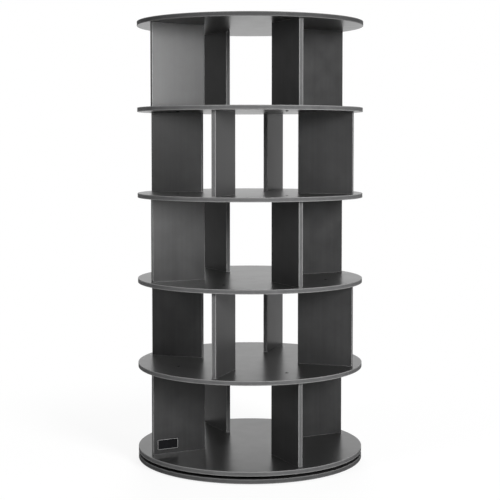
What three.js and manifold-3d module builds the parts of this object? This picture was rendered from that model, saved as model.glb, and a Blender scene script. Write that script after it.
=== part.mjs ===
// Rotating shoe tower: six round shelves held apart by radial dividers, turning on a flat ball swivel over a
// round base board. Every other tier has its dividers half a step round, so that each shelf can be screwed to
// the dividers below it from above and to the dividers above it from below.
// Millimetres, +Z up. The origin is on the floor, on the turning axis, and the front is -Y.
import * as THREE from "three";
import { mergeVertices } from "three/addons/utils/BufferGeometryUtils.js";
import Module from "manifold-3d";

const wasm = await Module();
wasm.setup();

// Boards and tiers
const shelfRadius = 250;
const boardThickness = 9.5;
const tierCount = 5;
const tierOpening = 179; // clear height between two shelves
const dividersPerTier = 4;
const dividerLength = 123; // along the radius
const dividerSetback = 14; // from a shelf's rim to a divider's outer end
const dividerArris = 0.8; // rounding of a divider's upright edges
const towerTurnDegrees = 26.5; // how far round the tower stands on its swivel
const seatGap = 0.3; // between faces that rest on each other

// The screw and the glued dowel in each end of a divider
const screwHeadRadius = 3.5;
const screwHeadHeight = 2.5;
const screwHeadSink = 0.3; // below the shelf's face
const screwShankRadius = 2;
const screwLength = 35;
const screwClearance = 0.3;
const dowelRadius = 3;
const dowelDepth = 6; // into the shelf
const dowelInset = 22; // from the divider's outer end
const dowelClearance = 0.3;

// Swivel: two pressed plates with balls between their grooves
const swivelSide = 150;
const swivelCornerRadius = 12;
const sheet = 0.9;
const raceRadius = 52; // of the circle that the balls run on
const raceClearance = 0.4;
const shoulderWidth = 2.5; // flat outside the groove
const rampWidth = 2.5; // step from the shoulder down to the flange
const flangeLap = 1.5;
const lipWidth = 4.5; // flat inside the groove
const eyeletGap = 0.4; // between the lower plate's eyelet and the upper plate's lip
const flareWidth = 2.6; // of the eyelet's rolled edge
const ballRadius = 1.6;
const ballCount = 16;
const cageThickness = 0.7;
const cageHalfWidth = 4;
const cageGap = 0.3;
const pocketClearance = 0.25;

// Flat-headed screws at the swivel's corners
const plateScrewInset = 13; // from the plate's edges
const plateScrewHeadRadius = 3.5;
const plateScrewHeadEdge = 0.5; // chamfer round the head
const plateScrewPassGap = 0.7; // between the lower and upper heads, which pass each other
const plateScrewRadius = 1.75;
const plateScrewLength = 7.5;
const plateScrewClearance = 0.3;
const accessHoleRadius = 7; // in the base board, to reach the upper plate's screws

// Non-slip pads under the base board
const padRadius = 15;
const padHeight = 3;
const padEdge = 0.8; // chamfer round a pad's lower edge
const padCount = 6;
const padSetback = 35; // from the base board's rim to a pad's centre

const overrun = 1; // how far a cutter passes the face that it cuts

const boardSides = 60;
const swivelSides = 32;
const screwSides = 8;
const dowelSides = 6;
const ballSides = 8;
const ballRings = 4;
const padSides = 12;
const grooveSteps = 4;
const halfTurn = Math.PI;
const quarterTurn = halfTurn / 2;
const fullTurn = halfTurn * 2;

// What the sizes above give
const heightForBalls = 2 * (sheet + raceClearance + ballRadius);
const heightForEyelet = 2 * (eyeletGap + 2 * sheet + cageGap) + cageThickness;
const swivelHeight = Math.max(heightForBalls, heightForEyelet);
const ballLevel = swivelHeight / 2;
const tierPitch = tierOpening + boardThickness;
const baseBoardLevel = padHeight + seatGap;
const swivelLevel = baseBoardLevel + boardThickness + seatGap;
const firstShelfLevel = swivelLevel + swivelHeight + seatGap;
const dividerHeight = tierOpening - 2 * seatGap;
const dividerReach = shelfRadius - dividerSetback - dividerLength / 2; // from the axis to its middle
const dividerStep = fullTurn / dividersPerTier;
const dowelPlace = dividerLength / 2 - dowelInset;
const plateScrewPlace = swivelSide / 2 - plateScrewInset;
const plateScrewReach = Math.hypot(plateScrewPlace, plateScrewPlace);
const plateScrewHeadHeight = ballLevel - sheet - seatGap - plateScrewPassGap / 2;
const padReach = shelfRadius - padSetback;

// Materials
const boardBlack = new THREE.MeshStandardMaterial({ color: 0x35353a, roughness: 0.42, metalness: 0 });
const zincSteel = new THREE.MeshStandardMaterial({ color: 0xb9bcc0, roughness: 0.35, metalness: 1 });
const ballSteel = new THREE.MeshStandardMaterial({ color: 0xd8dadd, roughness: 0.12, metalness: 1 });
const cageNylon = new THREE.MeshStandardMaterial({ color: 0xe6e2d6, roughness: 0.55, metalness: 0 });
const padRubber = new THREE.MeshStandardMaterial({ color: 0x1a1a1a, roughness: 0.85, metalness: 0 });

// A closed geometry as a solid. Corners that meet are merged, and triangles that close up to nothing are left out.
function solidOf(geometry) {
  const bare = new THREE.BufferGeometry();
  bare.setAttribute("position", geometry.getAttribute("position"));
  bare.setIndex(geometry.getIndex());
  const merged = mergeVertices(bare);
  const corners = merged.getIndex().array;
  const kept = [];
  for (let i = 0; i < corners.length; i += 3) {
    const [a, b, c] = corners.slice(i, i + 3);
    if (a !== b && b !== c && c !== a) {
      kept.push(a, b, c);
    }
  }
  const vertProperties = merged.getAttribute("position").array;
  return new wasm.Manifold(new wasm.Mesh({ numProp: 3, vertProperties, triVerts: new Uint32Array(kept) }));
}

function geometryOf(solid) {
  const made = solid.getMesh();
  const indexed = new THREE.BufferGeometry();
  indexed.setAttribute("position", new THREE.BufferAttribute(made.vertProperties, 3));
  indexed.setIndex(new THREE.BufferAttribute(made.triVerts, 1));
  const flat = indexed.toNonIndexed();
  flat.computeVertexNormals();
  return flat;
}

function cut(geometry, cutters) {
  const left = cutters.reduce((solid, cutter) => solid.subtract(solidOf(cutter)), solidOf(geometry));
  return geometryOf(left);
}

function joined(geometries) {
  const all = geometries.map(solidOf).reduce((solid, other) => solid.add(other));
  return geometryOf(all);
}

// Turns an outline of [radius, height] pairs round the Z axis. It runs up the outside.
function revolved(outline, sides) {
  const points = outline.map(([radius, height]) => new THREE.Vector2(radius, height));
  return new THREE.LatheGeometry(points, sides).rotateX(quarterTurn);
}

function column(radius, from, to, sides) {
  return revolved([[0, from], [radius, from], [radius, to], [0, to]], sides);
}

// The corner radius of a faceted hole whose flats clear a pin by the given clearance.
function holeRadius(pinRadius, clearance, sides) {
  return (pinRadius + clearance) / Math.cos(halfTurn / sides);
}

function moved(geometry, x, y, z) {
  return geometry.clone().translate(x, y, z);
}

function underside(geometry) {
  return geometry.clone().rotateX(halfTurn);
}

// Carries a geometry out along +X by radius, and then round the Z axis.
function polar(geometry, radius, angle) {
  return moved(geometry, radius, 0, 0).rotateZ(angle);
}

function named(name, geometry, material) {
  const mesh = new THREE.Mesh(geometry, material);
  mesh.name = name;
  return mesh;
}

// A countersunk screw with its head's face at height 0, pointing down.
function countersunkScrew() {
  const outline = [
    [0, -screwLength],
    [screwShankRadius, -screwLength],
    [screwShankRadius, -screwHeadHeight],
    [screwHeadRadius, 0],
    [0, 0],
  ];
  return revolved(outline, screwSides);
}

// What cuts a board for one end of a divider. The board lies below height 0 and the divider stands on it.
function seatCutters() {
  const face = -boardThickness;
  const neck = face + screwHeadSink + screwHeadHeight;
  const wide = holeRadius(screwHeadRadius, screwClearance, screwSides);
  const narrow = holeRadius(screwShankRadius, screwClearance, screwSides);
  const widening = ((wide - narrow) * overrun) / (neck - face);
  const screwHole = revolved(
    [
      [0, face - overrun],
      [wide + widening, face - overrun],
      [narrow, neck],
      [narrow, overrun],
      [0, overrun],
    ],
    screwSides,
  );
  const socketRadius = holeRadius(dowelRadius, dowelClearance, dowelSides);
  const socket = column(socketRadius, -dowelDepth, overrun, dowelSides);
  return [screwHole, moved(socket, dowelPlace, 0, 0)];
}

// The angle of each divider of a tier. Tiers count from 0 at the bottom.
function dividerAngles(tier) {
  const first = (tier % 2) * (dividerStep / 2);
  return Array.from({ length: dividersPerTier }, (_, i) => first + i * dividerStep);
}

function shelfGeometry(shelf) {
  const cutters = [];
  if (shelf < tierCount) {
    for (const angle of dividerAngles(shelf)) {
      for (const cutter of seatCutters()) {
        cutters.push(moved(polar(cutter, dividerReach, angle), 0, 0, boardThickness));
      }
    }
  }
  if (shelf > 0) {
    for (const angle of dividerAngles(shelf - 1)) {
      for (const cutter of seatCutters()) {
        cutters.push(polar(underside(cutter), dividerReach, angle));
      }
    }
  }
  if (shelf === 0) {
    cutters.push(...plateScrewHoles());
  }
  return cut(column(shelfRadius, 0, boardThickness, boardSides), cutters);
}

// A divider stands on height 0, with its length along X and its screw holes' axis through the origin.
function dividerGeometry() {
  const plan = new THREE.Shape();
  const x = dividerLength / 2 - dividerArris;
  const y = boardThickness / 2 - dividerArris;
  plan.absarc(x, y, dividerArris, 0, quarterTurn);
  plan.absarc(-x, y, dividerArris, quarterTurn, halfTurn);
  plan.absarc(-x, -y, dividerArris, halfTurn, halfTurn + quarterTurn);
  plan.absarc(x, -y, dividerArris, halfTurn + quarterTurn, fullTurn);
  const board = new THREE.ExtrudeGeometry(plan, { depth: dividerHeight, bevelEnabled: false, curveSegments: 1 });
  const headLevel = seatGap + boardThickness - screwHeadSink;
  const dowelReach = dowelDepth - dowelClearance;
  const dowel = column(dowelRadius, -dowelDepth, dowelReach, dowelSides);
  const upperScrew = moved(countersunkScrew(), 0, 0, dividerHeight + headLevel);
  const lowerScrew = moved(underside(countersunkScrew()), 0, 0, -headLevel);
  const upperDowel = moved(dowel, dowelPlace, 0, dividerHeight);
  const lowerDowel = moved(underside(dowel), dowelPlace, 0, 0);
  return joined([board, upperScrew, lowerScrew, upperDowel, lowerDowel]);
}

// Swivel

// Both sides of a folded sheet, round its centreline, closed on itself. The centreline runs inwards.
function sheetOutline(centreline) {
  const last = centreline.length - 1;
  const sides = centreline.map((point, i) => {
    const before = point.clone().sub(centreline[Math.max(i - 1, 0)]).normalize();
    const after = centreline[Math.min(i + 1, last)].clone().sub(point).normalize();
    const run = before.clone().add(after).normalize();
    const reach = sheet / 2 / run.dot(i > 0 ? before : after);
    const across = new THREE.Vector2(-run.y, run.x).multiplyScalar(reach);
    return { under: point.clone().add(across), over: point.clone().sub(across) };
  });
  const outline = [...sides.map((side) => side.under).reverse(), ...sides.map((side) => side.over)];
  outline.push(outline[0]);
  return outline.map((point) => point.toArray());
}

const grooveRadius = ballRadius + raceClearance + sheet / 2;
const shoulderLevel = eyeletGap + sheet + sheet / 2; // leaves room for the eyelet above the upper plate's lip
const grooveAngle = Math.acos((ballLevel - shoulderLevel) / grooveRadius);
const grooveHalfWidth = grooveRadius * Math.sin(grooveAngle);
const shoulderEdge = raceRadius + grooveHalfWidth + shoulderWidth;
const flangeInner = shoulderEdge + rampWidth;
const eyeletRadius = raceRadius - grooveHalfWidth - lipWidth;

// The pressed ring of a plate: flange, ramp, shoulder and groove. It stands on height 0 and runs inwards.
function racePoints() {
  const points = [
    new THREE.Vector2(flangeInner + flangeLap, sheet / 2),
    new THREE.Vector2(flangeInner, sheet / 2),
    new THREE.Vector2(shoulderEdge, shoulderLevel),
  ];
  for (let i = 0; i <= grooveSteps; i += 1) {
    const angle = grooveAngle * (1 - (2 * i) / grooveSteps);
    const radius = raceRadius + grooveRadius * Math.sin(angle);
    points.push(new THREE.Vector2(radius, ballLevel - grooveRadius * Math.cos(angle)));
  }
  return points;
}

function squareFlange() {
  const plan = new THREE.Shape();
  const middle = swivelSide / 2 - swivelCornerRadius;
  plan.absarc(middle, middle, swivelCornerRadius, 0, quarterTurn);
  plan.absarc(-middle, middle, swivelCornerRadius, quarterTurn, halfTurn);
  plan.absarc(-middle, -middle, swivelCornerRadius, halfTurn, halfTurn + quarterTurn);
  plan.absarc(middle, -middle, swivelCornerRadius, halfTurn + quarterTurn, fullTurn);
  return new THREE.ExtrudeGeometry(plan, { depth: sheet, bevelEnabled: false, curveSegments: 2 });
}

function plateCorners() {
  const place = plateScrewPlace;
  return [[place, place], [-place, place], [-place, -place], [place, -place]];
}

// A swivel plate lies on height 0, with its groove upwards. The inner points finish its ring.
function swivelPlate(innerPoints) {
  const ring = revolved(sheetOutline([...racePoints(), ...innerPoints]), swivelSides);
  const opening = column(flangeInner + flangeLap / 2, -overrun, sheet + overrun, swivelSides);
  const holeCorner = holeRadius(plateScrewRadius, plateScrewClearance, screwSides);
  const hole = column(holeCorner, -overrun, sheet + overrun, screwSides);
  const holes = plateCorners().map(([x, y]) => moved(hole, x, y, 0));
  return joined([cut(squareFlange(), [opening, ...holes]), ring]);
}

// The lower plate's inner edge is rolled up and over the upper plate's lip, which keeps the two together.
function lowerPlate() {
  const flareLevel = swivelHeight - sheet / 2;
  return swivelPlate([
    new THREE.Vector2(eyeletRadius, shoulderLevel),
    new THREE.Vector2(eyeletRadius, flareLevel),
    new THREE.Vector2(eyeletRadius + flareWidth, flareLevel),
  ]);
}

function upperPlate() {
  const lipEdge = eyeletRadius + sheet / 2 + eyeletGap;
  return underside(swivelPlate([new THREE.Vector2(lipEdge, shoulderLevel)]));
}

function cageGeometry() {
  const bottom = ballLevel - cageThickness / 2;
  const top = ballLevel + cageThickness / 2;
  const inner = raceRadius - cageHalfWidth;
  const outer = raceRadius + cageHalfWidth;
  const outline = [[inner, bottom], [outer, bottom], [outer, top], [inner, top], [inner, bottom]];
  const ring = revolved(outline, swivelSides);
  const pocketRadius = holeRadius(ballRadius, pocketClearance, ballSides);
  const pocket = column(pocketRadius, bottom - overrun, top + overrun, ballSides);
  const pockets = ballAngles().map((angle) => polar(pocket, raceRadius, angle));
  return cut(ring, pockets);
}

function ballAngles() {
  return Array.from({ length: ballCount }, (_, i) => (i * fullTurn) / ballCount);
}

function plateScrew() {
  const outline = [
    [0, -plateScrewLength],
    [plateScrewRadius, -plateScrewLength],
    [plateScrewRadius, 0],
    [plateScrewHeadRadius, 0],
    [plateScrewHeadRadius, plateScrewHeadHeight - plateScrewHeadEdge],
    [plateScrewHeadRadius - plateScrewHeadEdge, plateScrewHeadHeight],
    [0, plateScrewHeadHeight],
  ];
  return revolved(outline, screwSides);
}

// Blind holes for the corner screws, upwards from height 0.
function plateScrewHoles() {
  const corner = holeRadius(plateScrewRadius, plateScrewClearance, screwSides);
  const depth = plateScrewLength - sheet - seatGap + plateScrewClearance;
  const hole = column(corner, -overrun, depth, screwSides);
  return plateCorners().map(([x, y]) => moved(hole, x, y, 0));
}

function baseBoardGeometry() {
  const blindHoles = plateScrewHoles().map((hole) => moved(underside(hole), 0, 0, boardThickness));
  const accessHole = column(accessHoleRadius, -overrun, boardThickness + overrun, padSides);
  const cutters = [...blindHoles, polar(accessHole, plateScrewReach, 0)];
  return cut(column(shelfRadius, 0, boardThickness, boardSides), cutters);
}

function padGeometry() {
  const outline = [
    [0, 0],
    [padRadius - padEdge, 0],
    [padRadius, padEdge],
    [padRadius, padHeight],
    [0, padHeight],
  ];
  return revolved(outline, padSides);
}

// Base: everything that stays still
const base = new THREE.Group();
const baseBoard = named("base_board", baseBoardGeometry(), boardBlack);
baseBoard.position.z = baseBoardLevel;
base.add(baseBoard);

for (let i = 0; i < padCount; i += 1) {
  const pad = named(`foot_pad_${i + 1}`, padGeometry(), padRubber);
  const angle = (i * fullTurn) / padCount;
  pad.position.set(padReach * Math.cos(angle), padReach * Math.sin(angle), 0);
  base.add(pad);
}

const lowerRace = named("swivel_lower_plate", lowerPlate(), zincSteel);
lowerRace.position.z = swivelLevel;
base.add(lowerRace);

plateCorners().forEach(([x, y], i) => {
  const screw = named(`swivel_lower_screw_${i + 1}`, plateScrew(), zincSteel);
  screw.position.set(x, y, swivelLevel + sheet + seatGap);
  base.add(screw);
});

// Ball set: rolls round at half the tower's rate
const ballSet = new THREE.Group();
ballSet.position.z = swivelLevel;
ballSet.add(named("swivel_ball_cage", cageGeometry(), cageNylon));
ballAngles().forEach((angle, i) => {
  const sphere = new THREE.SphereGeometry(ballRadius, ballSides, ballRings).rotateX(quarterTurn);
  const ball = named(`swivel_ball_${String(i + 1).padStart(2, "0")}`, sphere, ballSteel);
  ball.position.set(raceRadius * Math.cos(angle), raceRadius * Math.sin(angle), ballLevel);
  ball.rotation.z = angle;
  ballSet.add(ball);
});

// Tower: everything that turns
const tower = new THREE.Group();
tower.rotation.z = THREE.MathUtils.degToRad(towerTurnDegrees);

const upperRace = named("swivel_upper_plate", upperPlate(), zincSteel);
upperRace.position.z = swivelLevel + swivelHeight;
tower.add(upperRace);

plateCorners().forEach(([x, y], i) => {
  const screw = named(`swivel_upper_screw_${i + 1}`, underside(plateScrew()), zincSteel);
  screw.position.set(x, y, swivelLevel + swivelHeight - sheet - seatGap);
  tower.add(screw);
});

const shelfNames = Array.from({ length: tierCount + 1 }, (_, i) => `shelf_${i + 1}`);
shelfNames[0] = "bottom_shelf";
shelfNames[tierCount] = "top_shelf";
shelfNames.forEach((name, i) => {
  const shelf = named(name, shelfGeometry(i), boardBlack);
  shelf.position.z = firstShelfLevel + i * tierPitch;
  tower.add(shelf);
});

const divider = dividerGeometry();
for (let tier = 0; tier < tierCount; tier += 1) {
  dividerAngles(tier).forEach((angle, i) => {
    const letter = String.fromCharCode("a".charCodeAt(0) + i);
    const board = named(`divider_${tier + 1}${letter}`, divider, boardBlack);
    const level = firstShelfLevel + tier * tierPitch + boardThickness + seatGap;
    board.position.set(dividerReach * Math.cos(angle), dividerReach * Math.sin(angle), level);
    board.rotation.z = angle;
    tower.add(board);
  });
}

const shoeTower = new THREE.Group();
shoeTower.add(base, ballSet, tower);

export default shoeTower;
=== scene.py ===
# Rotating shoe tower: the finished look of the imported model. Metres, +Z up, front towards -Y.
import math

import bmesh
import bpy
from mathutils import Matrix, Vector


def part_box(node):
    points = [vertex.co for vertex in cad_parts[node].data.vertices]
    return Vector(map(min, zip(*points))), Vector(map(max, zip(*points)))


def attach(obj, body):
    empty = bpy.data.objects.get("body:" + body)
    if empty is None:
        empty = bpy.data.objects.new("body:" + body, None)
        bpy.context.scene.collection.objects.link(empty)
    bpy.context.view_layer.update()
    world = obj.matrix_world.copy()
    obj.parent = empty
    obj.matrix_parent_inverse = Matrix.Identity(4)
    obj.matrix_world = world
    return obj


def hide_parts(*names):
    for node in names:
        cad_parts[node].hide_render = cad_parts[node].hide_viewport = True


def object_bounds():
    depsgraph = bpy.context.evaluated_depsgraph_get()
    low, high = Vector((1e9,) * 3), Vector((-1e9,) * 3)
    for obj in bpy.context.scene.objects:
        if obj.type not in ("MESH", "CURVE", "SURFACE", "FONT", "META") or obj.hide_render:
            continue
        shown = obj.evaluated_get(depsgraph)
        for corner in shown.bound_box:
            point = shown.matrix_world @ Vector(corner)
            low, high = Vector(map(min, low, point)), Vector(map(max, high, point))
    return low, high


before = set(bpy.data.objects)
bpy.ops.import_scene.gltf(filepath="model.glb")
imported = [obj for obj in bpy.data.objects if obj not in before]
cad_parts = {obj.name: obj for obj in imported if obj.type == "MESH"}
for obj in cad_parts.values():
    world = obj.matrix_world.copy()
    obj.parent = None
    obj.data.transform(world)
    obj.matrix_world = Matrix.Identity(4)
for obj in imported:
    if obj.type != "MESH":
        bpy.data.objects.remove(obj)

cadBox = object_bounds()
nearly = 0.00001  # places closer than this are the same
facing = 0.999  # a face with more of its normal along an axis than this faces that way
edgeOn = 0.01  # and one with less than this stands edge on to it
creaseAngle = 35  # degrees, past which a bend stays crisp
print("frame loaded:", len(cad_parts), "nodes")


# Handling pieces
def putAllDown():
    if bpy.context.object and bpy.context.object.mode != "OBJECT":
        bpy.ops.object.mode_set(mode="OBJECT")
    bpy.ops.object.select_all(action="DESELECT")


def takeUp(*pieces):
    putAllDown()
    for piece in pieces:
        piece.select_set(True)
    bpy.context.view_layer.objects.active = pieces[0]


def freeze(name=None):
    piece = bpy.context.object
    if name:
        piece.name = name
        piece.data.name = name
    bpy.ops.object.transform_apply(location=True, rotation=True, scale=True)
    return piece


def editMesh(piece):
    takeUp(piece)
    bpy.ops.object.mode_set(mode="EDIT")


def pick(kind, test):
    bpy.ops.mesh.select_mode(type={"verts": "VERT", "edges": "EDGE", "faces": "FACE"}[kind])
    bpy.ops.mesh.select_all(action="DESELECT")
    shape = bmesh.from_edit_mesh(bpy.context.object.data)
    for part in getattr(shape, kind):
        if test(part):
            part.select_set(True)
    bmesh.update_edit_mesh(bpy.context.object.data)


def faceOut():
    bpy.ops.mesh.select_all(action="SELECT")
    bpy.ops.mesh.remove_doubles(threshold=nearly / 10)
    bpy.ops.mesh.normals_make_consistent(inside=False)
    bpy.ops.object.mode_set(mode="OBJECT")


def smooth(piece):
    takeUp(piece)
    bpy.ops.object.shade_smooth_by_angle(angle=math.radians(creaseAngle))


def cutOut(piece, tool):
    takeUp(piece)
    cut = piece.modifiers.new("cut", "BOOLEAN")
    cut.operation = "DIFFERENCE"
    cut.solver = "EXACT"
    cut.object = tool
    bpy.ops.object.modifier_apply(modifier=cut.name)
    bpy.data.objects.remove(tool)


def gather(pieces, name):
    takeUp(*pieces)
    bpy.ops.object.join()
    return freeze(name)


# A copy with its own mesh, flipped over if asked, turned round the tower's axis and lifted
def copyOf(piece, name, turn=0.0, rise=0.0, flip=False, shift=(0.0, 0.0)):
    takeUp(piece)
    bpy.ops.object.duplicate(linked=False)
    copy = bpy.context.object
    copy.location = (shift[0], shift[1], rise)
    copy.rotation_euler = (math.pi if flip else 0.0, 0.0, turn)
    return freeze(name)


def finishPiece(piece, body, nodes, materials):
    for material in materials:
        piece.data.materials.append(material)
    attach(piece, body)
    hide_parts(*nodes)


# Camera at the photograph's place: level with the second tier from the top, looking a little down
camera = {
    "lens": 90.011,
    "distance": 2.7899,
    "height": 0.7104,
    "lookDown": 3.184,
    "shiftY": -0.08,
}
bpy.ops.object.camera_add(
    location=(0, -camera["distance"], camera["height"]),
    rotation=(math.radians(90 - camera["lookDown"]), 0, 0),
)
photoCamera = bpy.context.object
photoCamera.name = "photoCamera"
photoCamera.data.lens = camera["lens"]
photoCamera.data.shift_y = camera["shiftY"]
bpy.context.scene.camera = photoCamera
print("camera set")


# Node groups
def addNode(tree, kind, place, **settings):
    node = tree.nodes.new("ShaderNode" + kind)
    node.location = place
    for key, value in settings.items():
        setattr(node, key, value)
    return node


def newGroup(name, inputs, outputs):
    group = bpy.data.node_groups.new(name, "ShaderNodeTree")
    for label, kind, start in inputs:
        socket = group.interface.new_socket(name=label, in_out="INPUT", socket_type="NodeSocket" + kind)
        if start is not None:
            socket.default_value = start
    for label, kind in outputs:
        group.interface.new_socket(name=label, in_out="OUTPUT", socket_type="NodeSocket" + kind)
    into = addInOut(group, "NodeGroupInput", (-900, 0))
    out = addInOut(group, "NodeGroupOutput", (900, 0))
    return group, into, out


def addInOut(tree, kind, place):
    node = tree.nodes.new(kind)
    node.location = place
    return node


def addNoise(tree, place, vector, values):
    noise = addNode(tree, "TexNoise", place)
    noise.inputs["Scale"].default_value = 1.0  # the vector comes scaled
    noise.inputs["Detail"].default_value = values["detail"]
    noise.inputs["Roughness"].default_value = values["roughness"]
    tree.links.new(vector, noise.inputs["Vector"])
    return noise.outputs["Fac"]


def addMath(tree, place, operation, first, second):
    node = addNode(tree, "Math", place, operation=operation)
    for socket, value in zip(node.inputs, (first, second)):
        if isinstance(value, (int, float)):
            socket.default_value = value
        else:
            tree.links.new(value, socket)
    return node.outputs["Value"]


def addRange(tree, place, value, low, high, toLow, toHigh):
    node = addNode(tree, "MapRange", place, interpolation_type="SMOOTHSTEP")
    tree.links.new(value, node.inputs["Value"])
    for label, number in (("From Min", low), ("From Max", high), ("To Min", toLow), ("To Max", toHigh)):
        if isinstance(number, (int, float)):
            node.inputs[label].default_value = number
        else:
            tree.links.new(number, node.inputs[label])
    return node.outputs["Result"]


# The group's position times one of its scales
def addScale(tree, place, into, label):
    node = addNode(tree, "VectorMath", place, operation="SCALE")
    tree.links.new(into.outputs["Position"], node.inputs[0])
    tree.links.new(into.outputs[label], node.inputs["Scale"])
    return node.outputs["Vector"]


# Noise behind the patterns, with the values of it that turn to 0 and 1
noises = {
    "streak": {"detail": 5.0, "roughness": 0.62, "range": (0.3, 0.7)},
    "cloud": {"detail": 3.0, "roughness": 0.55, "range": (0.2, 0.8)},
    "pore": {"detail": 2.0, "roughness": 0.5},
    "paleArrisNoise": {"detail": 4.0, "roughness": 0.65},
}


# Long soft streaks one way, clouds every way and fine pores
def makeFigureGroup():
    tree, into, out = newGroup(
        "boardFigure",
        [
            ("Position", "Vector", None),
            ("Streak Scale", "Vector", (1, 1, 1)),
            ("Cloud Scale", "Float", 60.0),
            ("Pore Scale", "Float", 1400.0),
        ],
        [("Streak", "Float"), ("Cloud", "Float"), ("Pore", "Float")],
    )
    stretched = addNode(tree, "VectorMath", (-650, 200), operation="MULTIPLY")
    tree.links.new(into.outputs["Position"], stretched.inputs[0])
    tree.links.new(into.outputs["Streak Scale"], stretched.inputs[1])
    streak = addNoise(tree, (-400, 200), stretched.outputs["Vector"], noises["streak"])
    cloud = addNoise(tree, (-400, 0), addScale(tree, (-650, 0), into, "Cloud Scale"), noises["cloud"])
    pore = addNoise(tree, (-400, -200), addScale(tree, (-650, -200), into, "Pore Scale"), noises["pore"])
    streak = addRange(tree, (-150, 200), streak, *noises["streak"]["range"], 0.0, 1.0)
    cloud = addRange(tree, (-150, 0), cloud, *noises["cloud"]["range"], 0.0, 1.0)
    for label, value in (("Streak", streak), ("Cloud", cloud), ("Pore", pore)):
        tree.links.new(value, out.inputs[label])
    return tree


# Where a corner is pale, partly rubbed wear and partly a painted highlight for the light that the arrises
# catch: the arris attribute, broken up
def makeWearGroup():
    tree, into, out = newGroup(
        "arrisWearAndHighlight",
        [
            ("Position", "Vector", None),
            ("Reach", "Float", 0.5),
            ("Break Up", "Float", 0.5),
            ("Scale", "Float", 220.0),
        ],
        [("Wear And Highlight", "Float")],
    )
    arris = addNode(tree, "Attribute", (-650, 200), attribute_name="arris")
    paleArrisNoise = addNoise(tree, (-400, 0), addScale(tree, (-650, 0), into, "Scale"), noises["paleArrisNoise"])
    centred = addMath(tree, (-300, -150), "SUBTRACT", paleArrisNoise, 0.5)
    uneven = addMath(tree, (-200, 0), "MULTIPLY", centred, into.outputs["Break Up"])
    rubbedAndLit = addMath(tree, (0, 100), "ADD", arris.outputs["Fac"], uneven)
    start = addMath(tree, (0, -100), "SUBTRACT", 1.0, into.outputs["Reach"])
    tree.links.new(addRange(tree, (300, 0), rubbedAndLit, start, 1.0, 0.0, 1.0), out.inputs["Wear And Highlight"])
    return tree


boardFigure = makeFigureGroup()
arrisWearAndHighlight = makeWearGroup()


def addGroup(tree, group, place, **inputs):
    node = tree.nodes.new("ShaderNodeGroup")
    node.node_tree = group
    node.location = place
    for label, value in inputs.items():
        node.inputs[label.replace("_", " ")].default_value = value
    return node


def newMaterial(name):
    material = bpy.data.materials.new(name)
    material.use_nodes = True
    tree = material.node_tree
    shader = tree.nodes["Principled BSDF"]
    shader.location = (900, 0)
    tree.nodes["Material Output"].location = (1250, 0)
    position = addNode(tree, "TexCoord", (-900, 0)).outputs["Object"]
    return material, tree, shader, position


def addMix(tree, place, factor, first, second):
    node = addNode(tree, "Mix", place, data_type="RGBA")
    if isinstance(factor, (int, float)):
        node.inputs[0].default_value = factor
    else:
        tree.links.new(factor, node.inputs[0])
    for socket, value in ((node.inputs[6], first), (node.inputs[7], second)):
        if isinstance(value, tuple):
            socket.default_value = (*value, 1.0)
        else:
            tree.links.new(value, socket)
    return node.outputs[2]


def addBump(tree, place, height, strength, distance, under=None):
    node = addNode(tree, "Bump", place)
    node.inputs["Strength"].default_value = strength
    node.inputs["Distance"].default_value = distance
    tree.links.new(height, node.inputs["Height"])
    if under:
        tree.links.new(under, node.inputs["Normal"])
    return node.outputs["Normal"]


# Charcoal laminate: smooth, half gloss, with a faint cloudy figure. Shelves are the glossier faces. Though
# both are the same board, the shelves' laminate is painted darker than the dividers', as painted shade that
# offsets their stronger gloss.
shelfLaminate = {
    "dark": (0.0180, 0.0180, 0.0182),
    "pale": (0.0225, 0.0225, 0.0228),
    # pale arris colour: partly rubbed wear, partly painted highlight
    "rubbedAndLit": (0.15, 0.15, 0.15),
    "roughness": (0.277, 0.300),
    "ior": 1.6,
    "streakScale": (2.2, 95.0, 95.0),
    "cloudScale": 26.0,
    "cloudShare": 0.65,
    "paleArrisReach": 0.5,
    "paleArrisBreakUp": 0.9,
    "ripple": (0.03, 0.00002),  # strength and depth
    "pores": (0.03, 0.00001),
}
dividerLaminate = {
    **shelfLaminate,
    "dark": (0.0265, 0.0265, 0.0268),
    "pale": (0.0392, 0.0392, 0.0396),
    "roughness": (0.277, 0.310),
    "ior": 1.33,
    "streakScale": (120.0, 120.0, 2.6),
}

# Painted board edge: matt, paler, fibrous, with the corners pale from rubbed wear and from a painted
# highlight
discEdge = {
    "dark": (0.076, 0.076, 0.077),
    "pale": (0.118, 0.118, 0.119),
    "rubbedAndLit": (0.21, 0.21, 0.21),
    "roughness": (0.55, 0.70),
    "ior": 1.2,
    "streakScale": (26.0, 26.0, 900.0),
    "cloudScale": 60.0,
    "cloudShare": 0.5,
    "paleArrisReach": 0.9,
    "paleArrisBreakUp": 0.6,
    "ripple": (0.35, 0.00015),
    "pores": (0.3, 0.0001),
}
dividerEdge = {**discEdge, "streakScale": (700.0, 700.0, 14.0)}
edgeShades = {"top": 0.58, "base": 0.68}  # painted shade: the top and base boards' edges are darker copies of the same edge finish


# shadeScale darkens a copy of a finish, as painted shade
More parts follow.
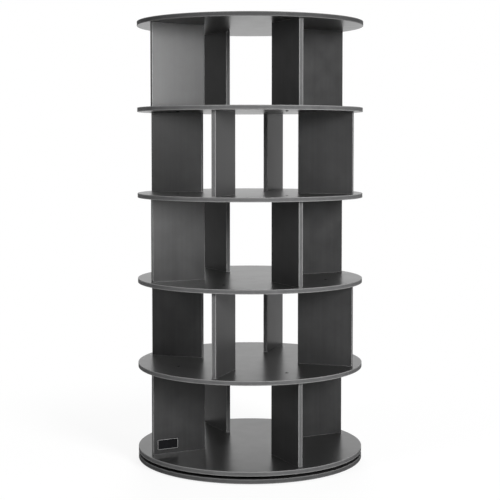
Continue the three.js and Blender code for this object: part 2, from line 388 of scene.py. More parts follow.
def makeBoardFinish(name, values, shadeScale=1.0):
    dark, pale, rubbedAndLit = [tuple(shadeScale * part for part in values[key]) for key in ("dark", "pale", "rubbedAndLit")]
    material, tree, shader, position = newMaterial(name)
    figure = addGroup(tree, boardFigure, (-600, 100), Streak_Scale=values["streakScale"],
                      Cloud_Scale=values["cloudScale"])
    wearAndHighlight = addGroup(tree, arrisWearAndHighlight, (-600, -250), Reach=values["paleArrisReach"], Break_Up=values["paleArrisBreakUp"])
    tree.links.new(position, figure.inputs["Position"])
    tree.links.new(position, wearAndHighlight.inputs["Position"])
    share = values["cloudShare"]
    streaks = addMath(tree, (-350, 200), "MULTIPLY", figure.outputs["Streak"], 1 - share)
    clouds = addMath(tree, (-350, 50), "MULTIPLY", figure.outputs["Cloud"], share)
    pattern = addMath(tree, (-150, 200), "ADD", streaks, clouds)
    colour = addMix(tree, (100, 200), pattern, dark, pale)
    # Pale arrises: partly rubbed wear, partly a painted highlight
    wornAndLit = addMix(tree, (350, 200), wearAndHighlight.outputs["Wear And Highlight"], colour, rubbedAndLit)
    gloss = addRange(tree, (350, -50), figure.outputs["Cloud"], 0.0, 1.0, *values["roughness"])
    ripple = addBump(tree, (350, -300), figure.outputs["Streak"], *values["ripple"])
    relief = addBump(tree, (600, -300), figure.outputs["Pore"], *values["pores"], ripple)
    tree.links.new(wornAndLit, shader.inputs["Base Color"])
    tree.links.new(gloss, shader.inputs["Roughness"])
    tree.links.new(relief, shader.inputs["Normal"])
    shader.inputs["IOR"].default_value = values["ior"]
    return material


# Screws: blackened steel, brighter where the driver has rubbed
blackSteel = {
    "dark": (0.012, 0.012, 0.013),
    "pale": (0.035, 0.035, 0.038),
    "roughness": (0.4, 0.6),
    "metallic": 1.0,
    "ior": 1.5,
}

# Swivel: zinc-plated sheet and screws, bright ground balls
zinc = {
    "dark": (0.5, 0.51, 0.53),
    "pale": (0.68, 0.69, 0.70),
    "roughness": (0.24, 0.42),
    "metallic": 1.0,
    "ior": 1.5,
}
chrome = {
    "dark": (0.72, 0.73, 0.74),
    "pale": (0.8, 0.81, 0.82),
    "roughness": (0.08, 0.14),
    "metallic": 1.0,
    "ior": 1.5,
}

# Cage, pads and nameplate: moulded plastic and rubber, and a painted plate with a silver line
nylon = {
    "dark": (0.70, 0.67, 0.58),
    "pale": (0.80, 0.77, 0.69),
    "roughness": (0.42, 0.55),
    "metallic": 0.0,
    "ior": 1.5,
}
rubber = {
    "dark": (0.012, 0.012, 0.012),
    "pale": (0.03, 0.03, 0.03),
    "roughness": (0.7, 0.9),
    "metallic": 0.0,
    "ior": 1.5,
}
plateBlack = {
    "dark": (0.006, 0.006, 0.007),
    "pale": (0.010, 0.010, 0.011),
    "roughness": (0.5, 0.6),
    "metallic": 0.0,
    "ior": 1.25,
}
plateSilver = {
    "dark": (0.30, 0.30, 0.30),
    "pale": (0.42, 0.42, 0.42),
    "roughness": (0.35, 0.5),
    "metallic": 0.0,
    "ior": 1.5,
}
smallGrain = {
    "streakScale": (300.0, 300.0, 300.0),
    "cloudScale": 120.0,
    "poreScale": 2500.0,
    "pores": (0.1, 0.00003),  # strength and depth
}


def makeSmallFinish(name, values):
    material, tree, shader, position = newMaterial(name)
    figure = addGroup(tree, boardFigure, (-600, 100), Streak_Scale=smallGrain["streakScale"],
                      Cloud_Scale=smallGrain["cloudScale"], Pore_Scale=smallGrain["poreScale"])
    tree.links.new(position, figure.inputs["Position"])
    colour = addMix(tree, (100, 200), figure.outputs["Cloud"], values["dark"], values["pale"])
    gloss = addRange(tree, (350, -50), figure.outputs["Streak"], 0.0, 1.0, *values["roughness"])
    relief = addBump(tree, (600, -300), figure.outputs["Pore"], *smallGrain["pores"])
    tree.links.new(colour, shader.inputs["Base Color"])
    tree.links.new(gloss, shader.inputs["Roughness"])
    tree.links.new(relief, shader.inputs["Normal"])
    shader.inputs["Metallic"].default_value = values["metallic"]
    shader.inputs["IOR"].default_value = values["ior"]
    return material


shelfFace = makeBoardFinish("shelf_laminate", shelfLaminate)
uprightFace = makeBoardFinish("divider_laminate", dividerLaminate)
shelfEdge = makeBoardFinish("shelf_edge", discEdge)
# Darker copies of the edge finish on the top and base boards: painted shade
topEdgeShaded = makeBoardFinish("top_edge_shaded", discEdge, edgeShades["top"])
baseEdgeShaded = makeBoardFinish("base_edge_shaded", discEdge, edgeShades["base"])
uprightEdge = makeBoardFinish("divider_edge", dividerEdge)
screwSteel = makeSmallFinish("screw_steel", blackSteel)
plateZinc = makeSmallFinish("plated_zinc", zinc)
ballChrome = makeSmallFinish("ball_chrome", chrome)
cageNylon = makeSmallFinish("cage_nylon", nylon)
padRubber = makeSmallFinish("pad_rubber", rubber)
badgeBlack = makeSmallFinish("badge_black", plateBlack)
badgeLine = makeSmallFinish("badge_line", plateSilver)
print("materials made")


# Where a divider stands: tiers count from 0, every other tier is half a step round
divider = {
    "perTier": 4,
    "turn": 26.5,
    "reach": 0.1745,  # from the axis to its middle
    "length": 0.123,
    "seat": 0.00004,  # keeps touching faces apart
    "arris": 0.0005,
    "band": 0.0022,  # pale band along each arris, partly rubbed wear and partly painted highlight
    "faceBand": 0.0012,
}
tierNames = ["bottom_shelf", "shelf_2", "shelf_3", "shelf_4", "shelf_5", "top_shelf"]
tierLetters = "abcd"


def dividerTurn(tier, number):
    step = 360 / divider["perTier"]
    return math.radians(divider["turn"] + (tier % 2) * step / 2 + number * step)


def dividerNode(tier, number):
    return "divider_" + str(tier + 1) + tierLetters[number]


# Fixings in a divider's ends
screw = {
    "headRadius": 0.0035,
    "headHeight": 0.0025,
    "rim": 0.0003,
    "dome": 0.0015,
    "domeSteps": 4,
    "underSink": -0.0004,  # stands a little proud
    "overSink": 0.0007,
    "topSink": 0.0017,  # keeps the dome inside the top shelf
    "shankRadius": 0.002,
    "length": 0.035,
    "tip": 0.003,
    "tipShare": 0.12,  # of the shank's width, at the end of the tip
    "clearance": 0.0003,
    "drillDepth": 0.03,
    "drillOver": 0.002,  # how far a hole's cutter stands out of the board
    "sides": 40,
    "recessWidth": 0.0008,
    "recessSpan": 0.0038,
    "recessDepth": 0.0017,
}
disc = {
    "sides": 256,
    "arris": 0.0005,
    "arrisSteps": 3,
    "faceBand": 0.0012,
    "rimBand": 0.0020,
}


# How far a screw's rim lies below the top face of this disc
def overSink(index):
    return screw["topSink" if tierNames[index] == "top_shelf" else "overSink"]


# Cross recess in a screw's head, cut to its depth below this place
def cutRecess(body, values, place):
    for width, length in (("recessSpan", "recessWidth"), ("recessWidth", "recessSpan")):
        putAllDown()
        bpy.ops.mesh.primitive_cube_add(size=1, location=place)
        bpy.context.object.scale = (values[width], values[length], values["recessDepth"] * 2)
        cutOut(body, freeze("arm"))


# A cutter for one screw's hole in a board, with its wide mouth at height 0 and pointing down
def makeScrewCutter():
    wide = screw["headRadius"] + screw["clearance"]
    narrow = screw["shankRadius"] + screw["clearance"]
    neck = screw["headHeight"]
    mouth = neck + screw["drillOver"]
    putAllDown()
    bpy.ops.mesh.primitive_cylinder_add(
        vertices=screw["sides"], radius=narrow, depth=screw["drillDepth"],
        location=(divider["reach"], 0, -neck - screw["drillDepth"] / 2),
    )
    cutter = freeze("screwCutter")
    editMesh(cutter)
    pick("faces", lambda face: face.normal.z > facing)
    bpy.ops.mesh.extrude_region_move(TRANSFORM_OT_translate={"value": (0, 0, mouth)})
    share = ((wide - narrow) * mouth / neck + narrow) / narrow
    bpy.ops.transform.resize(value=(share, share, 1), center_override=(divider["reach"], 0, 0))
    faceOut()
    return cutter


# Marks where the pale arris band of wear and painted highlight goes
def markArris(piece, test):
    wearAndHighlight = piece.data.attributes.new("arris", "FLOAT", "POINT")
    for point, vertex in zip(wearAndHighlight.data, piece.data.vertices):
        point.value = 1.0 if test(vertex.co) else 0.0


def makeDisc(name, bottom, top):
    radius = cadBox[1].x
    middle = (bottom + top) / 2
    putAllDown()
    bpy.ops.mesh.primitive_cylinder_add(
        vertices=disc["sides"], radius=radius, depth=top - bottom, location=(0, 0, middle)
    )
    board = freeze(name)
    editMesh(board)
    pick("edges", lambda edge: abs(edge.verts[0].co.z - edge.verts[1].co.z) < nearly)
    bpy.ops.mesh.bevel(offset=disc["arris"], segments=disc["arrisSteps"], affect="EDGES")
    pick("faces", lambda face: abs(face.normal.z) > facing)
    bpy.ops.mesh.inset(thickness=disc["faceBand"], depth=0)
    pick("faces", lambda face: abs(face.normal.z) < edgeOn)
    bpy.ops.mesh.inset(thickness=disc["rimBand"], depth=0)
    faceOut()
    return board


# Which faces are laminate and which are cut edge, and where the arrises are
def dressDisc(board, bottom, top):
    radius = cadBox[1].x
    for face in board.data.polygons:
        level = face.center.z
        flat = abs(face.normal.z) > facing and min(abs(level - bottom), abs(level - top)) < nearly
        face.material_index = 0 if flat else 1

    def onArris(co):
        outer = math.hypot(co.x, co.y) > radius - disc["arris"] - nearly
        return outer and min(co.z - bottom, top - co.z) < disc["arris"] + nearly

    markArris(board, onArris)
    smooth(board)


screwCutter = makeScrewCutter()


def drill(board, level, tier, flip):
    turns = [dividerTurn(tier, number) for number in range(divider["perTier"])]
    cutters = [copyOf(screwCutter, "cutter", turn, level, flip) for turn in turns]
    cutOut(board, gather(cutters, "cutters"))


def makeShelf(index):
    name = tierNames[index]
    low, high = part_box(name)
    board = makeDisc(name + "_board", low.z, high.z)
    if index > 0:
        drill(board, high.z - overSink(index), index - 1, False)
    if index < len(tierNames) - 1:
        drill(board, low.z + screw["underSink"], index, True)
    dressDisc(board, low.z, high.z)
    edge = topEdgeShaded if name == "top_shelf" else shelfEdge
    finishPiece(board, "tower", [name], [shelfFace, edge])


for index in range(len(tierNames)):
    makeShelf(index)
print("shelves made")

accessHole = {
    "radius": 0.007,
    "reach": 0.0877,
    "cutDepth": 0.03,
    "sides": 64,
}
low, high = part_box("base_board")
baseBoard = makeDisc("base_board_disc", low.z, high.z)
putAllDown()
bpy.ops.mesh.primitive_cylinder_add(
    vertices=accessHole["sides"], radius=accessHole["radius"], depth=accessHole["cutDepth"],
    location=(accessHole["reach"], 0, low.z),
)
cutOut(baseBoard, freeze("accessCutter"))
dressDisc(baseBoard, low.z, high.z)
finishPiece(baseBoard, "base", ["base_board"], [shelfFace, baseEdgeShaded])
print("base board made")


# Dividers: one board in the lowest tier at angle 0, then its copies
def makeDivider():
    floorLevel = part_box("bottom_shelf")[1].z + divider["seat"]
    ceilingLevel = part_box("shelf_2")[0].z - divider["seat"]
    size = Vector((divider["length"], boardThickness, ceilingLevel - floorLevel))
    centre = Vector((divider["reach"], 0, (floorLevel + ceilingLevel) / 2))
    putAllDown()
    bpy.ops.mesh.primitive_cube_add(size=1, location=centre)
    bpy.context.object.scale = size
    board = freeze("dividerBoard")
    editMesh(board)
    pick("edges", lambda edge: abs(edge.verts[0].co.z - edge.verts[1].co.z) > nearly)
    bpy.ops.mesh.bevel(offset=divider["arris"], segments=disc["arrisSteps"], affect="EDGES")
    pick("faces", lambda face: abs(face.normal.y) > facing)
    bpy.ops.mesh.inset(thickness=divider["faceBand"], depth=0)
    for axis in (0, 2):
        pick("faces", lambda face: abs(face.normal[axis]) > facing)
        bpy.ops.mesh.inset(thickness=divider["band"], depth=0)
    faceOut()
    for face in board.data.polygons:
        face.material_index = 0 if abs(face.normal.x) < edgeOn else 1

    def onArris(co):
        inwards = [size[axis] / 2 - abs(co[axis] - centre[axis]) for axis in (0, 1)]
        return all(gap < divider["arris"] + nearly for gap in inwards)

    markArris(board, onArris)
    smooth(board)
    return board


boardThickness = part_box("shelf_2")[1].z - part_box("shelf_2")[0].z
firstDivider = makeDivider()
dividerBoards = bpy.data.collections.new("dividerBoards")
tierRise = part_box("shelf_2")[1].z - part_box("bottom_shelf")[1].z
for tier in range(len(tierNames) - 1):
    for number in range(divider["perTier"]):
        node = dividerNode(tier, number)
        board = copyOf(firstDivider, node + "_board", dividerTurn(tier, number), tier * tierRise)
        finishPiece(board, "tower", [node], [uprightFace, uprightEdge])
        dividerBoards.objects.link(board)
bpy.data.objects.remove(firstDivider)
print("dividers made")


# Screws: a countersunk head with a cross recess, modelled at angle 0 with its face at height 0
def makeScrew():
    neck = screw["headHeight"]
    across = (divider["reach"], 0, 0)
    putAllDown()
    bpy.ops.mesh.primitive_cylinder_add(
        vertices=screw["sides"], radius=screw["shankRadius"], depth=screw["length"] - neck,
        location=(divider["reach"], 0, -(screw["length"] + neck) / 2),
    )
    body = freeze("screw")
    editMesh(body)
    pick("faces", lambda face: face.normal.z > facing)
    bpy.ops.mesh.extrude_region_move(TRANSFORM_OT_translate={"value": (0, 0, neck - screw["rim"])})
    wide = screw["headRadius"] / screw["shankRadius"]
    bpy.ops.transform.resize(value=(wide, wide, 1), center_override=across)
    bpy.ops.mesh.extrude_region_move(TRANSFORM_OT_translate={"value": (0, 0, screw["rim"])})
    for step in range(screw["domeSteps"]):
        start, end = [math.pi / 2 * part / (screw["domeSteps"] + 1) for part in (step, step + 1)]
        rise = screw["dome"] * (math.sin(end) - math.sin(start))
        narrower = math.cos(end) / math.cos(start)
        bpy.ops.mesh.extrude_region_move(TRANSFORM_OT_translate={"value": (0, 0, rise)})
        bpy.ops.transform.resize(value=(narrower, narrower, 1), center_override=across)
    pick("faces", lambda face: face.normal.z < -facing)
    bpy.ops.mesh.extrude_region_move(TRANSFORM_OT_translate={"value": (0, 0, -screw["tip"])})
    bpy.ops.transform.resize(value=(screw["tipShare"], screw["tipShare"], 1), center_override=across)
    faceOut()
    cutRecess(body, screw, across)
    smooth(body)
    return body


firstScrew = makeScrew()
for tier in range(len(tierNames) - 1):
    for number in range(divider["perTier"]):
        node = dividerNode(tier, number)
        turn = dividerTurn(tier, number)
        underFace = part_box(tierNames[tier])[0].z + screw["underSink"]
        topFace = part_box(tierNames[tier + 1])[1].z - overSink(tier + 1)
        for end, level, flip in (("lower", underFace, True), ("upper", topFace, False)):
            piece = copyOf(firstScrew, node + "_" + end + "_screw", turn, level, flip)
            finishPiece(piece, "tower", [node], [screwSteel])
bpy.data.objects.remove(firstScrew)
bpy.data.objects.remove(screwCutter)
print("screws made")


# Blank nameplate on the lowest tier's left-front divider, near its outer bottom corner
badge = {
    "tier": 0,
    "number": 2,
    "reach": 0.2028,  # from the axis to its middle
    "above": 0.0208,  # from the shelf to its middle
    "width": 0.0495,
    "height": 0.0235,
    "thickness": 0.0006,
    "corner": 0.0026,
    "cornerSteps": 6,
    "margin": 0.0010,
    "line": 0.0008,
    "lineRise": 0.00012,
}


def makeBadge():
    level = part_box("bottom_shelf")[1].z + badge["above"]
    side = boardThickness / 2 + badge["thickness"] / 2
    putAllDown()
    bpy.ops.mesh.primitive_cube_add(size=1, location=(badge["reach"], side, level))
    bpy.context.object.scale = (badge["width"], badge["thickness"], badge["height"])
    plate = freeze("nameplate_blank")
    editMesh(plate)
    pick("edges", lambda edge: abs(edge.verts[0].co.y - edge.verts[1].co.y) > nearly)
    bpy.ops.mesh.bevel(offset=badge["corner"], segments=badge["cornerSteps"], affect="EDGES")
    pick("faces", lambda face: face.normal.y > facing)
    bpy.ops.mesh.inset(thickness=badge["margin"], depth=0)
    bpy.ops.mesh.inset(thickness=badge["line"], depth=0, use_select_inset=True)
    bpy.ops.mesh.extrude_region_move(TRANSFORM_OT_translate={"value": (0, badge["lineRise"], 0)})
    shape = bmesh.from_edit_mesh(plate.data)
    for face in shape.faces:
        face.material_index = 1 if face.select else 0
    bmesh.update_edit_mesh(plate.data)
    faceOut()
    turned = copyOf(plate, "nameplate_blank_plate", dividerTurn(badge["tier"], badge["number"]))
    bpy.data.objects.remove(plate)
    smooth(turned)
    turned.data.materials.append(badgeBlack)
    turned.data.materials.append(badgeLine)
    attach(turned, "tower")


makeBadge()
print("nameplate made")


# Swivel: two pressed plates, one on the base and one under the tower, with caged balls in their grooves
swivel = {
    "side": 0.150,
    "corner": 0.012,
    "cornerSteps": 8,
    "sheet": 0.0009,
    "race": 0.052,  # radius of the circle that the balls run on
    "raceClearance": 0.0004,
    "shoulder": 0.0025,
    "ramp": 0.0025,
    "flangeLap": 0.0015,
    "lip": 0.0045,
    "eyeletGap": 0.0004,
    "flare": 0.0026,
    "fold": 0.0005,  # eases each bend of the sheet
    "foldSteps": 3,
    "grooveSteps": 10,
    "sides": 128,
    "holeSides": 32,
}
plateScrew = {
    "inset": 0.013,
    "radius": 0.00175,
    "clearance": 0.0003,
    "headRadius": 0.0035,
    "headHeight": 0.00135,
    "headEdge": 0.0005,
    "length": 0.0070,
    "tipInset": 0.0007875,  # narrows the end of the shank
    "above": 0.0003,  # from the sheet to the head
    "recessSpan": 0.0036,
    "recessWidth": 0.0008,
    "recessDepth": 0.0008,
    "sides": 40,
}
balls = {
    "count": 16,
    "radius": 0.0016,
    "cage": 0.0007,  # thickness of the ring that keeps them apart
    "cageHalfWidth": 0.004,
    "pocket": 0.00025,  # play of a ball in its pocket
    "pocketDepth": 0.0028,  # of the cutter, through the ring and past it
    "edge": 0.00012,
    "edgeSteps": 2,
    "subdivisions": 3,
}
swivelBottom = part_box("swivel_lower_plate")[0].z
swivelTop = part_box("swivel_upper_plate")[1].z
ballLevel = (swivelTop - swivelBottom) / 2
raceLevel = swivelBottom + ballLevel
grooveRadius = balls["radius"] + swivel["raceClearance"] + swivel["sheet"] / 2
shoulderLevel = swivel["eyeletGap"] + swivel["sheet"] * 1.5  # leaves the gap between flare and lip
grooveAngle = math.acos((ballLevel - shoulderLevel) / grooveRadius)
grooveHalf = grooveRadius * math.sin(grooveAngle)
shoulderEdge = swivel["race"] + grooveHalf + swivel["shoulder"]
flangeInner = shoulderEdge + swivel["ramp"]
eyeletRadius = swivel["race"] - grooveHalf - swivel["lip"]


# Centre line of the pressed ring, from the flange inwards, as radius and height
def ringLine(inner):
    line = [(flangeInner, swivel["sheet"] / 2), (shoulderEdge, shoulderLevel)]
    for step in range(swivel["grooveSteps"] + 1):
        angle = grooveAngle * (1 - 2 * step / swivel["grooveSteps"])
        radius = swivel["race"] + grooveRadius * math.sin(angle)
        line.append((radius, ballLevel - grooveRadius * math.cos(angle)))
    return line + inner


def plateCorners():
    place = swivel["side"] / 2 - plateScrew["inset"]
    return [(place, place), (-place, place), (-place, -place), (place, -place)]


def makePressedPlate(name, inner):
    level = swivel["sheet"] / 2
    start = flangeInner + swivel["flangeLap"]
    line = ringLine(inner)
    putAllDown()
    bpy.ops.mesh.primitive_circle_add(vertices=swivel["sides"], radius=start, location=(0, 0, level))
    plate = freeze(name)
    editMesh(plate)
    pick("edges", lambda edge: True)
    before = (start, level)
    for radius, height in line:
        bpy.ops.mesh.extrude_region_move(TRANSFORM_OT_translate={"value": (0, 0, height - before[1])})
        share = radius / before[0]
        bpy.ops.transform.resize(value=(share, share, 1), center_override=(0, 0, 0))
        before = (radius, height)
    bends = [line[0], line[1], line[2], line[2 + swivel["grooveSteps"]], *inner[:-1]]

    def onBend(edge):
        spots = [(math.hypot(vertex.co.x, vertex.co.y), vertex.co.z) for vertex in edge.verts]
        return any(all(math.dist(spot, bend) < nearly for spot in spots) for bend in bends)

    pick("edges", onBend)
    bpy.ops.mesh.bevel(offset=swivel["fold"], segments=swivel["foldSteps"], affect="EDGES")
    bpy.ops.mesh.select_all(action="DESELECT")
    bpy.ops.mesh.primitive_plane_add(size=swivel["side"], location=(0, 0, level))
    bpy.ops.mesh.bevel(offset=swivel["corner"], segments=swivel["cornerSteps"], affect="VERTICES")
    bpy.ops.mesh.delete(type="ONLY_FACE")
    for x, y in plateCorners():
        bpy.ops.mesh.primitive_circle_add(
            vertices=swivel["holeSides"], radius=plateScrew["radius"] + plateScrew["clearance"],
            location=(x, y, level),
        )

    def onFlange(vertex):
        return vertex.co.xy.length > start - nearly and abs(vertex.co.z - level) < nearly

    def openEdge(edge):
        return len(edge.link_faces) < 2 and all(onFlange(vertex) for vertex in edge.verts)

    pick("edges", openEdge)
    bpy.ops.mesh.fill(use_beauty=True)
    faceOut()
    wall = plate.modifiers.new("wall", "SOLIDIFY")
    wall.thickness = swivel["sheet"]
    wall.offset = 0
    wall.use_even_offset = True
    takeUp(plate)
    bpy.ops.object.modifier_apply(modifier=wall.name)
    smooth(plate)
    return plate


flareLevel = swivelTop - swivelBottom - swivel["sheet"] / 2
eyelet = [
    (eyeletRadius, shoulderLevel),
    (eyeletRadius, flareLevel),
    (eyeletRadius + swivel["flare"], flareLevel),
]
lip = [(eyeletRadius + swivel["sheet"] / 2 + swivel["eyeletGap"], shoulderLevel)]
towerTurn = math.radians(divider["turn"])
for node, inner, body, place in (
    ("swivel_lower_plate", eyelet, "base", {"rise": swivelBottom}),
    ("swivel_upper_plate", lip, "tower", {"rise": swivelTop, "flip": True, "turn": towerTurn}),
):
    loose = makePressedPlate("loosePlate", inner)
    finishPiece(copyOf(loose, node + "_pressed", **place), body, [node], [plateZinc])
    bpy.data.objects.remove(loose)
print("swivel plates made")


# Low pan head with a cross recess, its underside at height 0
def makePlateScrew():
    putAllDown()
    bpy.ops.mesh.primitive_cylinder_add(
        vertices=plateScrew["sides"], radius=plateScrew["radius"], depth=plateScrew["length"],
        location=(0, 0, -plateScrew["length"] / 2),
    )
    body = freeze("plateScrew")
    editMesh(body)
    wide = plateScrew["headRadius"] / plateScrew["radius"]
    narrower = 1 - plateScrew["headEdge"] / plateScrew["headRadius"]
    rim = plateScrew["headHeight"] - plateScrew["headEdge"]
    pick("faces", lambda face: face.normal.z > facing)
    for rise, share in ((0, wide), (rim, 1), (plateScrew["headEdge"], narrower)):
        bpy.ops.mesh.extrude_region_move(TRANSFORM_OT_translate={"value": (0, 0, rise)})
        bpy.ops.transform.resize(value=(share, share, 1), center_override=(0, 0, 0))
    pick("faces", lambda face: face.calc_center_median().z < -plateScrew["length"] + nearly)
    bpy.ops.mesh.inset(thickness=plateScrew["tipInset"], depth=0)
    bpy.ops.mesh.extrude_region_move(TRANSFORM_OT_translate={"value": (0, 0, -plateScrew["headEdge"])})
    faceOut()
    cutRecess(body, plateScrew, (0, 0, plateScrew["headHeight"]))
    smooth(body)
    return body


looseScrew = makePlateScrew()
lift = swivel["sheet"] + plateScrew["above"]
for number, (x, y) in enumerate(plateCorners(), 1):
    node = "swivel_lower_screw_" + str(number)
    lower = copyOf(looseScrew, node + "_panhead", rise=swivelBottom + lift, shift=(x, y))
    finishPiece(lower, "base", [node], [plateZinc])
    node = "swivel_upper_screw_" + str(number)
    turned = Vector((x, y)) @ Matrix.Rotation(-towerTurn, 2)
    upper = copyOf(looseScrew, node + "_panhead", towerTurn, swivelTop - lift, True, tuple(turned))
    finishPiece(upper, "tower", [node], [plateZinc])
bpy.data.objects.remove(looseScrew)
print("swivel screws made")


# Where each ball runs, as its angle round the race
ballTurns = [math.tau * number / balls["count"] for number in range(balls["count"])]


# Cage: a thin moulded ring with a pocket for each ball
def makeCage():
    inner, outer = [swivel["race"] + side * balls["cageHalfWidth"] for side in (-1, 1)]
    putAllDown()
    bpy.ops.mesh.primitive_circle_add(vertices=swivel["sides"], radius=outer, location=(0, 0, raceLevel))
    cage = freeze("swivel_ball_cage_ring")
    editMesh(cage)
    pick("edges", lambda edge: True)
    bpy.ops.mesh.extrude_region_move(TRANSFORM_OT_translate={"value": (0, 0, 0)})
    bpy.ops.transform.resize(value=(inner / outer, inner / outer, 1), center_override=(0, 0, 0))
    faceOut()
    takeUp(cage)
    wall = cage.modifiers.new("wall", "SOLIDIFY")
    wall.thickness = balls["cage"]
    wall.offset = 0
    eased = cage.modifiers.new("eased", "BEVEL")
    eased.width = balls["edge"]
    eased.segments = balls["edgeSteps"]
    for modifier in (wall, eased):
        bpy.ops.object.modifier_apply(modifier=modifier.name)
    pockets = []
    for turn in ballTurns:
        putAllDown()
        bpy.ops.mesh.primitive_cylinder_add(
            vertices=swivel["holeSides"],
            radius=balls["radius"] + balls["pocket"],
            depth=balls["pocketDepth"],
            location=(swivel["race"] * math.cos(turn), swivel["race"] * math.sin(turn), raceLevel),
        )
        pockets.append(freeze("pocket"))
    cutOut(cage, gather(pockets, "pockets"))
    smooth(cage)
    finishPiece(cage, "ball_set", ["swivel_ball_cage"], [cageNylon])


makeCage()
putAllDown()
bpy.ops.mesh.primitive_ico_sphere_add(
    subdivisions=balls["subdivisions"], radius=balls["radius"], location=(swivel["race"], 0, raceLevel)
)
looseBall = freeze("looseBall")
bpy.ops.object.shade_smooth()
for number, turn in enumerate(ballTurns, 1):
    node = "swivel_ball_" + str(number).zfill(2)
    ball = copyOf(looseBall, node + "_ground", turn)
    finishPiece(ball, "ball_set", [node], [ballChrome])
bpy.data.objects.remove(looseBall)
print("cage and balls made")


# Pads: rubber discs with an eased lower edge and two rings cut into the sole
pad = {
    "count": 6,
    "reach": 0.215,
    "radius": 0.015,
    "height": 0.003,
    "edge": 0.0008,
    "edgeSteps": 3,
    "rings": ((0.0118, 0.0102), (0.0080, 0.0064)),  # outer and inner radius of each
    "ringDepth": 0.0006,
    "sides": 64,
}


def makePad():
    putAllDown()
    bpy.ops.mesh.primitive_cylinder_add(
        vertices=pad["sides"], radius=pad["radius"], depth=pad["height"],
        location=(pad["reach"], 0, pad["height"] / 2),
    )
    sole = freeze("loosePad")
    editMesh(sole)
    across = (pad["reach"], 0, 0)
    pick("edges", lambda edge: all(vertex.co.z < nearly for vertex in edge.verts))
    bpy.ops.mesh.bevel(offset=pad["edge"], segments=pad["edgeSteps"], affect="EDGES")
    radius = pad["radius"] - pad["edge"]
    pick("faces", lambda face: face.normal.z < -facing)
    for outer, inner in pad["rings"]:
        for target in (outer, inner):
            bpy.ops.mesh.inset(thickness=radius - target, depth=0)
            radius = target

    def inRing(face):
        middle = (face.calc_center_median() - Vector(across)).xy.length
        return face.normal.z < -facing and any(inner < middle < outer for outer, inner in pad["rings"])

    pick("faces", inRing)
    bpy.ops.mesh.extrude_region_move(TRANSFORM_OT_translate={"value": (0, 0, pad["ringDepth"])})
    faceOut()
    smooth(sole)
    return sole


loosePad = makePad()
for number in range(pad["count"]):
    node = "foot_pad_" + str(number + 1)
    turned = copyOf(loosePad, node + "_rubber", math.tau * number / pad["count"])
    finishPiece(turned, "base", [node], [padRubber])
bpy.data.objects.remove(loosePad)
print("pads made")


# Studio: white floor and walls, with the walls at the sides dim in reflections
studio = {
    "floorSize": 16.0,
    "floorColour": (0.8, 0.8, 0.8),
    "floorGlow": 0.86,
    "shadowShare": 0.16,
    "whiteSpan": (0.45, 1.1),  # distances over which the shadow fades out
    "ambient": 0.2,
    "wallTurn": (0.40, 0.80),  # sines of the angles off the front and back where the side walls dim
    "sideLevel": 0.1,
}


# How much white a ray meets: all of it from the camera, less towards the side walls in a reflection
def addSeen(tree, direction):
    path = addNode(tree, "LightPath", (-900, 500))
    flat = addNode(tree, "VectorMath", (-900, 200), operation="MULTIPLY")
    flat.inputs[1].default_value = (1, 1, 0)
    tree.links.new(direction, flat.inputs[0])
    unit = addNode(tree, "VectorMath", (-700, 200), operation="NORMALIZE")
    tree.links.new(flat.outputs["Vector"], unit.inputs[0])
    split = addNode(tree, "SeparateXYZ", (-500, 200))
    tree.links.new(unit.outputs["Vector"], split.inputs[0])
    sideways = addMath(tree, (-300, 200), "ABSOLUTE", split.outputs["X"], 0.0)
    wall = addRange(tree, (-100, 200), sideways, *studio["wallTurn"], 1.0, studio["sideLevel"])
    mirrored = addMath(tree, (-700, 400), "MAXIMUM", path.outputs["Is Glossy Ray"],
                       path.outputs["Is Transmission Ray"])
    seen = addMath(tree, (-300, 500), "MAXIMUM", path.outputs["Is Camera Ray"], mirrored)
    level = addMath(tree, (100, 400), "MAXIMUM", path.outputs["Is Camera Ray"],
                    addMath(tree, (-100, 400), "MULTIPLY", mirrored, wall))
    return seen, level


# The floor is white where it is seen, and keeps the tower's shadow
def makeFloor():
    putAllDown()
    bpy.ops.mesh.primitive_plane_add(size=studio["floorSize"], location=(0, 0, 0))
    floor = freeze("floor")
    material = bpy.data.materials.new("pale_floor")
    material.use_nodes = True
    tree = material.node_tree
    tree.nodes.clear()
    place = addNode(tree, "TexCoord", (-1100, 0)).outputs["Object"]
    seen, level = addSeen(tree, place)
    plain = addNode(tree, "BsdfDiffuse", (300, -300))
    plain.inputs["Color"].default_value = (*studio["floorColour"], 1)
    glow = addNode(tree, "Emission", (300, 150))
    strength = addMath(tree, (100, 150), "MULTIPLY", level, studio["floorGlow"])
    tree.links.new(strength, glow.inputs["Strength"])
    catcher = addNode(tree, "BsdfDiffuse", (300, 0))
    catcher.inputs["Color"].default_value = (studio["shadowShare"],) * 3 + (1,)
    shadowed = addNode(tree, "AddShader", (500, 100))
    tree.links.new(glow.outputs[0], shadowed.inputs[0])
    tree.links.new(catcher.outputs[0], shadowed.inputs[1])
    white = addNode(tree, "Emission", (300, -150))
    tree.links.new(level, white.inputs["Strength"])
    away = addNode(tree, "VectorMath", (-900, -200), operation="LENGTH")
    tree.links.new(place, away.inputs[0])
    fade = addRange(tree, (-700, -200), away.outputs["Value"], *studio["whiteSpan"], 0.0, 1.0)
    bright = addNode(tree, "MixShader", (700, 50))
    tree.links.new(fade, bright.inputs[0])
    tree.links.new(shadowed.outputs[0], bright.inputs[1])
    tree.links.new(white.outputs[0], bright.inputs[2])
    either = addNode(tree, "MixShader", (900, 0))
    tree.links.new(seen, either.inputs[0])
    tree.links.new(plain.outputs[0], either.inputs[1])
    tree.links.new(bright.outputs[0], either.inputs[2])
    output = addNode(tree, "OutputMaterial", (1100, 0))
    tree.links.new(either.outputs[0], output.inputs["Surface"])
    floor.data.materials.append(material)


makeFloor()


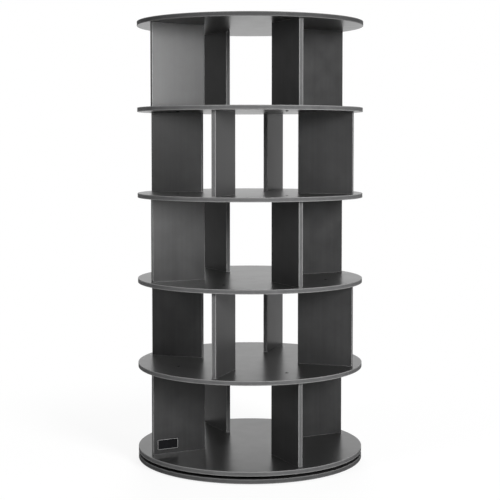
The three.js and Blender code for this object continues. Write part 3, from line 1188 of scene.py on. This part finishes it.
# The backdrop is white where it is seen, and a plain level for all other light
def makeBackdrop():
    world = bpy.data.worlds.new("studio")
    bpy.context.scene.world = world
    world.use_nodes = True
    tree = world.node_tree
    tree.nodes.clear()
    seen, level = addSeen(tree, addNode(tree, "TexCoord", (-1100, 0)).outputs["Generated"])
    ambient = addNode(tree, "Background", (300, 0))
    ambient.inputs["Strength"].default_value = studio["ambient"]
    white = addNode(tree, "Background", (300, -150))
    tree.links.new(level, white.inputs["Strength"])
    mix = addNode(tree, "MixShader", (600, 0))
    tree.links.new(seen, mix.inputs[0])
    tree.links.new(ambient.outputs[0], mix.inputs[1])
    tree.links.new(white.outputs[0], mix.inputs[2])
    output = addNode(tree, "OutputWorld", (900, 0))
    tree.links.new(mix.outputs[0], output.inputs["Surface"])
    for background in (ambient, white):
        background.inputs["Color"].default_value = (1, 1, 1, 1)


makeBackdrop()


# Softboxes by angle off the camera's side. They give no gloss, so that no shelf mirrors one.
softboxes = {
    "keySoftbox": {"angle": 32.0, "height": 1.5, "size": 1.0, "watts": 125},
    "fillSoftbox": {"angle": -50.0, "height": 1.5, "size": 1.2, "watts": 35},
    "backSoftbox": {"angle": 180.0, "height": 2.4, "size": 1.2, "watts": 32},
    "rearSoftbox": {"angle": 180.0, "height": 0.8, "size": 1.5, "watts": 75},
}
# These give gloss alone, and on the dividers alone
sheens = {
    "rightSheen": {"angle": 36.0, "height": 1.0, "size": 1.0, "watts": 101},
    "leftSheen": {"angle": -50.0, "height": 1.3, "size": 1.2, "watts": 27},
}
lampReach = 3.3
aim = Vector((0, 0, 0.5))


def makeLamp(name, values):
    putAllDown()
    angle = math.radians(values["angle"])
    place = Vector((lampReach * math.sin(angle), -lampReach * math.cos(angle), values["height"]))
    bpy.ops.object.light_add(type="AREA", location=place)
    lamp = bpy.context.object
    lamp.name = name
    lamp.data.shape = "SQUARE"
    lamp.data.size = values["size"]
    lamp.data.energy = values["watts"]
    lamp.rotation_euler = (aim - place).to_track_quat("-Z", "Y").to_euler()
    return lamp


for name, values in softboxes.items():
    makeLamp(name, values).visible_glossy = False
for name, values in sheens.items():
    sheen = makeLamp(name, values)
    sheen.visible_diffuse = False
    sheen.light_linking.receiver_collection = dividerBoards
bpy.context.scene.view_settings.view_transform = "Standard"
print("studio lit")
